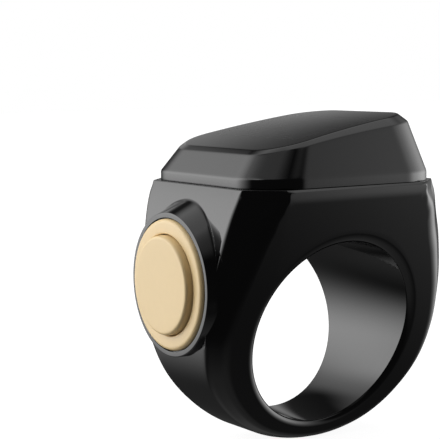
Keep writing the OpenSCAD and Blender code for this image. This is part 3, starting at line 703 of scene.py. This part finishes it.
def make_cap():
    """The cap's skin, closed, and the block of air that is cut out of it."""
    columns = [cap_column(p) for p in cap_foot()]
    rows = [[column[j] for column in columns] for j in range(len(columns[0]))]
    edge = rows[-1]
    for s in CAP_ROW_SHARES:
        rows.append([(x * s, y * s, cap_top(x * s)) for x, y, _ in edge])
    cap = loft("cap_shell", rows, ends=True)
    face_outwards(cap)
    hollow_near, hollow_far = CAP_HL - NEAR_WALL, CAP_HL - FAR_WALL
    shift = (hollow_far - hollow_near) / 2
    inside = slab_outline(hollow_near + hollow_far, CAP_WIDTH - 2 * SIDE_WALL, HOLLOW_CORNER)
    inside = [(x + shift, y) for x, y in inside]
    slope = math.tan(math.radians(CAP_TILT))
    hollow = loft("hollow", [
        [(x, y, TOP_Z - OVERRUN) for x, y in inside],
        [(x, y, TOP_Z + CEILING + slope * x) for x, y in inside],
    ], ends=True)
    face_outwards(hollow)
    return cap, hollow


def finish_cap(cap, hollow, outside, inside):
    cap.data.materials.append(outside)
    hollow.data.materials.append(inside)
    cut(cap, [hollow])
    bpy.data.objects.remove(hollow)
    shade(cap, CAP_SHARP)


# Button pieces
def make_trim():
    inner, wide = DISC_R + DISC_GAP, TRIM_R
    skirt = POCKET_R - JOINT_GAP
    flange_room = FLANGE_R + SLIP_GAP
    ease = TRIM_INNER_EASE
    profile = [(flange_room, SKIRT_LOW), (skirt, SKIRT_LOW), (skirt, TRIM_BACK)]
    profile += [(wide - TRIM_BACK_EASE, TRIM_BACK)]
    low = TRIM_BACK + TRIM_UPRIGHT
    profile += eased((wide, low), (wide, TRIM_FRONT), (wide - TRIM_EASE, TRIM_FRONT), ROUND_STEPS)
    profile += eased(
        (inner + ease, TRIM_FRONT), (inner, TRIM_FRONT), (inner, TRIM_FRONT - ease), SOFT_STEPS)
    profile += [(inner, LIP_LOW), (flange_room, LIP_LOW)]
    trim = turned("trim_ring", profile, False)
    shade(trim, BUTTON_SHARP)
    return trim


def make_disc():
    front, flange_front = TRIM_FRONT + DISC_PROUD, DISC_BACK + FLANGE_T
    face = DISC_R - DISC_DRAW
    side = mix(face, DISC_R, DISC_EASE / DISC_PROUD)
    profile = [(STEM_R, STEM_BACK), (STEM_R, DISC_BACK)]
    profile += [(FLANGE_R, DISC_BACK), (FLANGE_R, flange_front)]
    profile += [(DISC_R, flange_front), (DISC_R, TRIM_FRONT)]
    profile += eased(
        (side, front - DISC_EASE), (face, front), (face - DISC_EASE, front), ROUND_STEPS)
    profile += [(r, front) for r in DISC_FACE_RADII]
    disc = turned("button_face", profile, True)
    shade(disc, BUTTON_SHARP)
    return disc


# Shaders
WHITE = (1, 1, 1, 1)
BLACK = (0.0015, 0.0015, 0.0017)
GOLD = (0.735, 0.55, 0.283)
CLEAR = (0.75, 0.76, 0.78)
COAT_ROUGHNESS = 0.05
WIDE_GRAIN_SHARE = 0.18
BUMP_DEPTH = 0.2 * MM
CAP_GRAIN = 90
CAP_ROUGHNESS = (0.07, 0.11)
CAP_IOR = 1.5
DISPLAY_COLOUR = (0.9, 0.94, 1.0)
DISPLAY_GLOW = 2.6


def new_material(name):
    material = bpy.data.materials.new(name)
    material.use_nodes = True
    tree = material.node_tree
    tree.nodes.clear()
    return material, tree


def node(tree, kind, **values):
    made = tree.nodes.new(kind)
    for key, value in values.items():
        setattr(made, key, value)
    return made


def show(tree, shader):
    out = node(tree, "ShaderNodeOutputMaterial")
    tree.links.new(shader, out.inputs["Surface"])


def either(tree, share, first, second):
    """The first shader where share is 0, the second where it is 1."""
    made = node(tree, "ShaderNodeMixShader")
    tree.links.new(share, made.inputs["Fac"])
    tree.links.new(first, made.inputs[1])
    tree.links.new(second, made.inputs[2])
    return made.outputs["Shader"]


def see_through(tree, colour):
    clear = node(tree, "ShaderNodeBsdfTransparent")
    clear.inputs["Color"].default_value = colour
    return clear.outputs["BSDF"]


def math_node(tree, operation, a, b=None):
    made = node(tree, "ShaderNodeMath", operation=operation)
    for socket, value in zip(made.inputs, (a, b)):
        if value is None:
            continue
        if isinstance(value, (int, float)):
            socket.default_value = value
        else:
            tree.links.new(value, socket)
    return made.outputs[0]


def fade(tree, value, start, span, falling=False):
    """Goes smoothly from 0 to 1 over a span, or from 1 to 0."""
    made = node(tree, "ShaderNodeMapRange", interpolation_type="SMOOTHSTEP")
    made.inputs["From Min"].default_value = start
    made.inputs["From Max"].default_value = start + span
    made.inputs["To Min"].default_value = 1 if falling else 0
    made.inputs["To Max"].default_value = 0 if falling else 1
    tree.links.new(value, made.inputs["Value"])
    return made.outputs["Result"]


def noise(tree, scale, detail=3.0):
    place = node(tree, "ShaderNodeTexCoord")
    texture = node(tree, "ShaderNodeTexNoise")
    texture.inputs["Scale"].default_value = scale
    texture.inputs["Detail"].default_value = detail
    tree.links.new(place.outputs["Object"], texture.inputs["Vector"])
    return texture.outputs["Fac"]


def remap(tree, value, low, high):
    made = node(tree, "ShaderNodeMapRange")
    made.inputs["To Min"].default_value = low
    made.inputs["To Max"].default_value = high
    tree.links.new(value, made.inputs["Value"])
    return made.outputs["Result"]


def surface(name, colour, roughness, metallic=0.0, rough_spread=0.03, tint=0.06, grain=900.0,
            bump=0.02, specular=0.5, coat=0.0):
    """A finish with a little unevenness in its colour, its gloss and its surface."""
    material, tree = new_material(name)
    principled = node(tree, "ShaderNodeBsdfPrincipled")
    principled.inputs["Metallic"].default_value = metallic
    principled.inputs["Specular IOR Level"].default_value = specular
    principled.inputs["Coat Weight"].default_value = coat
    principled.inputs["Coat Roughness"].default_value = COAT_ROUGHNESS
    pattern = noise(tree, grain)
    ramp = node(tree, "ShaderNodeMix", data_type="RGBA")
    ramp.inputs["A"].default_value = (*[c * (1 - tint) for c in colour], 1)
    ramp.inputs["B"].default_value = (*[min(c * (1 + tint), 1) for c in colour], 1)
    tree.links.new(pattern, ramp.inputs["Factor"])
    tree.links.new(ramp.outputs["Result"], principled.inputs["Base Color"])
    wide = noise(tree, grain * WIDE_GRAIN_SHARE, detail=2.0)
    uneven = remap(tree, wide, roughness - rough_spread, roughness + rough_spread)
    tree.links.new(uneven, principled.inputs["Roughness"])
    if bump:
        bumped = node(tree, "ShaderNodeBump")
        bumped.inputs["Strength"].default_value = bump
        bumped.inputs["Distance"].default_value = BUMP_DEPTH
        tree.links.new(pattern, bumped.inputs["Height"])
        tree.links.new(bumped.outputs["Normal"], principled.inputs["Normal"])
    show(tree, principled.outputs["BSDF"])
    return material


# Window in the smoked cap, in millimetres: middle, half sizes and soft edge
WINDOW = (0.3, 5.6, 8.2, 0.8)


def window_mask(tree):
    """1 over the display, 0 elsewhere, read from the piece's own coordinates."""
    place = node(tree, "ShaderNodeTexCoord")
    split = node(tree, "ShaderNodeSeparateXYZ")
    tree.links.new(place.outputs["Object"], split.inputs["Vector"])
    middle, half_x, half_y, soft = WINDOW
    sides = []
    for axis, centre, half in (("X", middle, half_x), ("Y", 0.0, half_y)):
        off = math_node(tree, "ABSOLUTE", math_node(tree, "SUBTRACT", split.outputs[axis], centre * MM))
        sides.append(fade(tree, off, (half - soft) * MM, soft * MM, falling=True))
    return math_node(tree, "MULTIPLY", *sides)


def smoked_cap():
    """Gloss black, with a dark clear window over the display under the same gloss."""
    material, tree = new_material("smoked_cap")
    body = node(tree, "ShaderNodeBsdfDiffuse")
    body.inputs["Color"].default_value = (*BLACK, 1)
    under = either(tree, window_mask(tree), body.outputs["BSDF"], see_through(tree, (*CLEAR, 1)))
    gloss = node(tree, "ShaderNodeBsdfGlossy")
    gloss.inputs["Color"].default_value = WHITE
    rough = noise(tree, CAP_GRAIN, detail=2.0)
    tree.links.new(remap(tree, rough, *CAP_ROUGHNESS), gloss.inputs["Roughness"])
    fresnel = node(tree, "ShaderNodeFresnel")
    fresnel.inputs["IOR"].default_value = CAP_IOR
    show(tree, either(tree, fresnel.outputs["Fac"], under, gloss.outputs["BSDF"]))
    return material


def clear_inside():
    """The hollow's own skin isn't seen, so that the display shows through the window."""
    material, tree = new_material("cap_inside")
    show(tree, see_through(tree, WHITE))
    return material


def lit(name, colour, strength):
    material, tree = new_material(name)
    glow = node(tree, "ShaderNodeEmission")
    glow.inputs["Color"].default_value = (*colour, 1)
    glow.inputs["Strength"].default_value = strength
    show(tree, glow.outputs["Emission"])
    return material


def paint(obj, material):
    obj.data.materials.clear()
    obj.data.materials.append(material)


def dress(names, material):
    for name in names:
        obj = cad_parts[name]
        paint(obj, material)


# Pieces
gloss = surface("black_gloss", BLACK, 0.06, rough_spread=0.01, tint=0.1, grain=500, bump=0.0)
ring_shell = make_ring()
paint(ring_shell, gloss)
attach(ring_shell, "ring")
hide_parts("ring_body")

cap_shell, cap_hollow = make_cap()
finish_cap(cap_shell, cap_hollow, smoked_cap(), clear_inside())
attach(cap_shell, "ring")
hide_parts("top_cap")

gold = surface("trim_gold", GOLD, 0.4, tint=0.02, grain=1500, bump=0.0)
trim_ring = make_trim()
paint(trim_ring, gold)
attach(trim_ring, "ring")
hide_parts("button_trim")

disc_gold = surface("disc_gold", GOLD, 0.45, tint=0.02, grain=1500, bump=0.0)
button_face = make_disc()
paint(button_face, disc_gold)
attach(button_face, "button")
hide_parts("button_disc")

# Pieces that keep the CAD part's shape: their finish, names, colour, roughness and what else differs
FINISHES = (
    ("mask_black", ["display_mask"],
     (0.004, 0.004, 0.0045), 0.7, dict(specular=0.1, grain=2500, bump=0.1)),
    ("panel_glass", ["display_panel"], (0.02, 0.022, 0.03), 0.15, {}),
    ("white_plastic", ["display_bracket", "switch_plunger"], (0.72, 0.72, 0.7), 0.45, {}),
    ("flex_film", ["display_flex", "charge_flex", "button_flex"],
     (0.46, 0.19, 0.045), 0.35, dict(coat=0.3)),
    ("socket_plastic", ["display_socket", "button_socket"], (0.72, 0.68, 0.58), 0.5, {}),
    ("board_green", ["main_board", "battery_guard", "button_board"],
     (0.012, 0.09, 0.04), 0.3, dict(coat=0.5)),
    ("screw_steel", ["board_screws", "motor_shaft"], (0.6, 0.61, 0.63), 0.3, dict(metallic=1.0)),
    ("chip_black", ["radio_chip", "charging_chip", "memory_chip", "switch_case"],
     (0.02, 0.02, 0.021), 0.55, dict(bump=0.2)),
    ("can_metal", ["clock_crystal", "motor_can"], (0.62, 0.63, 0.65), 0.28, dict(metallic=1.0)),
    ("antenna_ceramic", ["chip_antenna"], (0.8, 0.76, 0.66), 0.4, {}),
    ("capacitor_brown", ["board_capacitors"], (0.35, 0.2, 0.1), 0.45, {}),
    ("motor_board", ["motor_base"], (0.05, 0.14, 0.07), 0.4, {}),
    ("rotor_dark", ["motor_rotor"], (0.03, 0.03, 0.032), 0.5, {}),
    ("weight_metal", ["motor_weight"], (0.3, 0.31, 0.33), 0.4, dict(metallic=1.0)),
    ("lead_red", ["motor_leads", "battery_lead_red"], (0.45, 0.02, 0.012), 0.4, {}),
    ("lead_black", ["battery_lead_black"], (0.01, 0.01, 0.01), 0.4, {}),
    ("foam_grey", ["battery_pad"], (0.08, 0.085, 0.095), 0.9, dict(bump=0.6)),
    ("cell_foil", ["battery_cell"], (0.6, 0.61, 0.64), 0.32, dict(metallic=1.0, bump=0.1)),
    ("contact_gold", ["charge_pads"], (0.85, 0.58, 0.22), 0.25, dict(metallic=1.0)),
    ("magnet_metal", ["charge_magnets"], (0.6, 0.61, 0.62), 0.2, dict(metallic=1.0)),
    ("seal_rubber", ["cap_seal", "button_seal"], (0.015, 0.015, 0.016), 0.75, dict(bump=0.2)),
    ("spring_steel", ["button_spring"], (0.6, 0.61, 0.63), 0.25, dict(metallic=1.0)),
)
for finish, names, colour, roughness, more in FINISHES:
    dress(names, surface(finish, colour, roughness, **more))
dress(["display_strokes"], lit("display_light", DISPLAY_COLOUR, DISPLAY_GLOW))

# Camera: turn round the ring, height, roll, distance and where the bore's centre falls in the picture
PICTURE = (440, 439)
VIEW_TURN = -35.324
VIEW_HEIGHT = 9.8
VIEW_ROLL = -0.217
VIEW_DISTANCE = 170.17
FOCAL_PIXELS = 1535.0
BORE_PIXEL = (292.784, 323.441)
SENSOR_WIDTH = 36
CLIP_SPAN = (0.01, 5)


def aim_camera():
    level = cos_of(VIEW_HEIGHT)
    back = Vector((sin_of(VIEW_TURN) * level, -cos_of(VIEW_TURN) * level, sin_of(VIEW_HEIGHT)))
    right = Vector((cos_of(VIEW_TURN), sin_of(VIEW_TURN), 0))
    up = back.cross(right)
    rolled_right = right * cos_of(VIEW_ROLL) + up * sin_of(VIEW_ROLL)
    rolled_up = up * cos_of(VIEW_ROLL) - right * sin_of(VIEW_ROLL)
    axes = Matrix((rolled_right, rolled_up, back)).transposed()
    across, upwards = BORE_PIXEL[0] - PICTURE[0] / 2, PICTURE[1] / 2 - BORE_PIXEL[1]
    seen = Vector((across, upwards, -FOCAL_PIXELS)).normalized()
    # The camera first looks at the bore's centre; this turn puts the centre where the picture has it
    swing = Vector((0, 0, -1)).rotation_difference(seen).to_matrix()
    turned_axes = axes @ swing.inverted()
    camera = bpy.data.objects.new("camera", bpy.data.cameras.new("camera"))
    camera.data.sensor_width = SENSOR_WIDTH
    camera.data.lens = SENSOR_WIDTH * FOCAL_PIXELS / PICTURE[0]
    camera.data.clip_start, camera.data.clip_end = CLIP_SPAN
    camera.matrix_world = Matrix.Translation(back * VIEW_DISTANCE * MM) @ turned_axes.to_4x4()
    bpy.context.collection.objects.link(camera)
    bpy.context.scene.camera = camera


aim_camera()

# Studio: soft lights in a dim room. Turn is 0 at the back and 90 at the button's side. A light fades in
# and out over the given spans of turn and height, and lean moves its turn with its height
SOFT_LIGHTS = (
    dict(turn=(-12.8, 38.5), turn_fades=(63.3, 51), height=(-38.4, 29.0), height_fades=(45.5, 31.3),
         strength=4.348),
    dict(turn=(-153.5, -109.6), turn_fades=(33.6, 64.4), height=(-38.2, -15), height_fades=(40.8, 71.6),
         strength=4.4),
    dict(turn=(40.5, 79.4), turn_fades=(57.5, 37), height=(28, 44.7), height_fades=(30, 18.6),
         strength=4.4),
    dict(turn=(-180, -19.7), turn_fades=(55, 64.9), height=(35.5, 95), height_fades=(20, 30),
         strength=1.091),
    dict(turn=(29.0, 129.1), turn_fades=(21.1, 60.9), height=(48.6, 95), height_fades=(3, 30),
         strength=0.553),
    dict(turn=(-52.9, -60), turn_fades=(15.8, 39.1), height=(-1.4, 9.0), height_fades=(13.3, 54),
         strength=1.343, lean=1.16),
)
ROOM_LIGHT = 0.047
GROUND_LIGHT = 0.185
GROUND_FROM = 30
GROUND_FADE = 30
DIFFUSE_GAIN = 1.35


def soft_light(tree, turn, height, light):
    if "lean" in light:
        turn = math_node(tree, "SUBTRACT", turn, math_node(tree, "MULTIPLY", height, light["lean"]))
    shape = None
    for value, edges, fades in ((turn, light["turn"], light["turn_fades"]),
                                (height, light["height"], light["height_fades"])):
        for k in (0, 1):
            side = fade(tree, value, edges[k], fades[k], falling=k == 1)
            shape = side if shape is None else math_node(tree, "MULTIPLY", shape, side)
    return math_node(tree, "MULTIPLY", shape, light["strength"])


def make_studio():
    """What gloss and matt surfaces see of the studio. The camera sees plain white."""
    world = bpy.data.worlds.new("studio")
    bpy.context.scene.world = world
    world.use_nodes = True
    tree = world.node_tree
    tree.nodes.clear()
    place = node(tree, "ShaderNodeTexCoord")
    split = node(tree, "ShaderNodeSeparateXYZ")
    tree.links.new(place.outputs["Generated"], split.inputs["Vector"])
    x, y, z = split.outputs
    turn = math_node(tree, "DEGREES", math_node(tree, "ARCTAN2", math_node(tree, "MULTIPLY", x, -1), y))
    height = math_node(tree, "DEGREES", math_node(tree, "ARCSINE", z))
    below = math_node(tree, "MULTIPLY", height, -1)
    total = math_node(tree, "MULTIPLY", fade(tree, below, GROUND_FROM, GROUND_FADE), GROUND_LIGHT)
    total = math_node(tree, "ADD", total, ROOM_LIGHT)
    for light in SOFT_LIGHTS:
        total = math_node(tree, "ADD", total, soft_light(tree, turn, height, light))
    path = node(tree, "ShaderNodeLightPath")
    extra = math_node(tree, "MULTIPLY", path.outputs["Is Diffuse Ray"], DIFFUSE_GAIN - 1)
    lit_room = math_node(tree, "MULTIPLY", total, math_node(tree, "ADD", extra, 1))
    sees_white = math_node(
        tree, "MAXIMUM", path.outputs["Is Camera Ray"], path.outputs["Is Transmission Ray"])
    strength = node(tree, "ShaderNodeMix", data_type="FLOAT")
    tree.links.new(sees_white, strength.inputs["Factor"])
    tree.links.new(lit_room, strength.inputs["A"])
    strength.inputs["B"].default_value = 1
    background = node(tree, "ShaderNodeBackground")
    background.inputs["Color"].default_value = WHITE
    tree.links.new(strength.outputs["Result"], background.inputs["Strength"])
    world_out = node(tree, "ShaderNodeOutputWorld")
    tree.links.new(background.outputs["Background"], world_out.inputs["Surface"])


# Floor: white to the camera with a faint shadow, and open to the other rays
FLOOR_SIZE = 2000.0
FLOOR_GLOW = 0.93
FLOOR_COLOUR = 0.2


def make_floor():
    low = box_at_load[0][2] / MM
    h = FLOOR_SIZE / 2
    floor = make_mesh("floor", [(-h, -h, low), (h, -h, low), (h, h, low), (-h, h, low)], [(0, 1, 2, 3)])
    material, tree = new_material("floor_white")
    glow = node(tree, "ShaderNodeEmission")
    glow.inputs["Strength"].default_value = FLOOR_GLOW
    paper = node(tree, "ShaderNodeBsdfDiffuse")
    paper.inputs["Color"].default_value = (FLOOR_COLOUR, FLOOR_COLOUR, FLOOR_COLOUR, 1)
    both = node(tree, "ShaderNodeAddShader")
    tree.links.new(glow.outputs["Emission"], both.inputs[0])
    tree.links.new(paper.outputs["BSDF"], both.inputs[1])
    camera_ray = node(tree, "ShaderNodeLightPath").outputs["Is Camera Ray"]
    show(tree, either(tree, camera_ray, see_through(tree, WHITE), both.outputs["Shader"]))
    paint(floor, material)


make_studio()
make_floor()

scene = bpy.context.scene
scene.view_settings.view_transform = "Standard"
